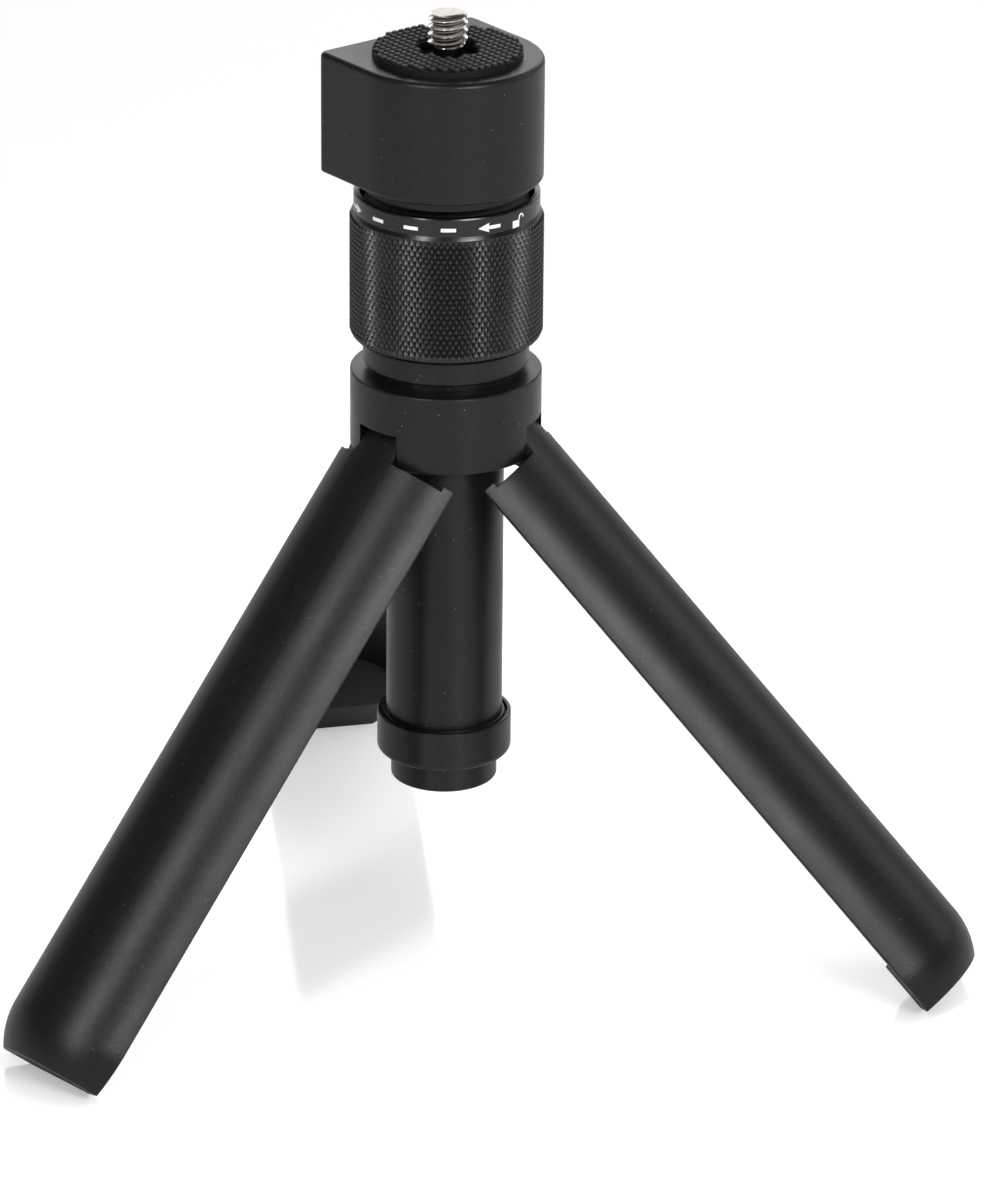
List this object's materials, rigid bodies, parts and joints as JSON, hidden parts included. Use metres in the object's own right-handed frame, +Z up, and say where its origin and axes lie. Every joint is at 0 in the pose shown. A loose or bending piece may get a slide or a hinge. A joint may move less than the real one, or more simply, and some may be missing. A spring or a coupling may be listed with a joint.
{
  "type": "folding mini tripod grip",
  "caption": "Folding mini tripod that closes into a hand grip, with a freely turning D-shaped head, a knurled lock collar and a studded plate around the camera screw.",
  "frame": {"origin": "on the grip's axis, in the plane that the three open feet stand on", "axes": "+Z up the grip's axis, towards the camera screw; +Y towards the rear leg; the other two legs point to -X -Y and +X -Y"},
  "size_m": [0.1606, 0.1428, 0.1592],
  "materials": {
    "black_aluminium": "satin black anodised",
    "black_knurl": "black anodised diamond knurl",
    "black_plastic": "satin moulded black with a fine grain",
    "black_rubber": "studded matt rubber",
    "foot_rubber": "smooth matt rubber",
    "stainless": "bright turned stainless steel",
    "bearing_steel": "polished bearing steel",
    "black_steel": "black oxide",
    "spring_steel": "plain spring steel",
    "friction_disc": "woven friction lining",
    "white_print": "matt white pad print"
  },
  "bodies": {
    "handle": {"hub": "black_aluminium", "pin_keeper": "black_steel", "hinge_washers": "spring_steel", "column_tube": "black_aluminium", "end_cap": "black_aluminium", "tie_bolt": "black_steel", "neck_housing": "black_aluminium", "collar_o_ring": "black_rubber", "bearing_circlip": "spring_steel", "lower_outer_race": "bearing_steel", "upper_outer_race": "bearing_steel", "lower_balls": "bearing_steel", "upper_balls": "bearing_steel", "left_hinge_pin": "stainless", "right_hinge_pin": "stainless", "rear_hinge_pin": "stainless"},
    "head": {"head_block": "black_aluminium", "grip_pad": "black_rubber", "camera_screw": "stainless", "stud_lock_nut": "black_steel", "spindle": "black_aluminium", "head_screws": "black_steel", "lower_inner_race": "bearing_steel", "upper_inner_race": "bearing_steel", "bearing_spacer": "spring_steel", "spindle_nut": "black_steel"},
    "clamp": {"clamp_ring": "black_aluminium", "clutch_pad": "friction_disc"},
    "collar": {"lock_collar": "black_knurl"},
    "left_leg": {"left_leg_shell": "black_plastic", "left_foot_plug": "foot_rubber"},
    "right_leg": {"right_leg_shell": "black_plastic", "right_foot_plug": "foot_rubber"},
    "rear_leg": {"rear_leg_shell": "black_plastic", "rear_foot_plug": "foot_rubber"}
  },
  "joints": [
    {"name": "left_leg_fold", "type": "hinge", "parent": "handle", "child": "left_leg", "pos_m": [-0.01057, -0.0061, 0.0885], "axis": [0.5, -0.866, 0], "range_deg": [0, 42.82]},
    {"name": "right_leg_fold", "type": "hinge", "parent": "handle", "child": "right_leg", "pos_m": [0.01057, -0.0061, 0.0885], "axis": [0.5, 0.866, 0], "range_deg": [0, 42.82]},
    {"name": "rear_leg_fold", "type": "hinge", "parent": "handle", "child": "rear_leg", "pos_m": [0, 0.0122, 0.0885], "axis": [-1, 0, 0], "range_deg": [0, 42.82]},
    {"name": "head_spin", "type": "hinge", "parent": "handle", "child": "head", "pos_m": [0, 0, 0.1322], "axis": [0, 0, 1], "continuous": true},
    {"name": "clamp_lift", "type": "slide", "parent": "handle", "child": "clamp", "axis": [0, 0, 1], "range_m": [0, 0.002]},
    {"name": "collar_turn", "type": "hinge", "parent": "clamp", "child": "collar", "pos_m": [0, 0, 0.118], "axis": [0, 0, 1], "range_deg": [0, 145]}
  ],
  "couplings": [
    {"joint": "clamp_lift", "follows": "collar_turn", "m_per_rad": 0.00078633}
  ]
}
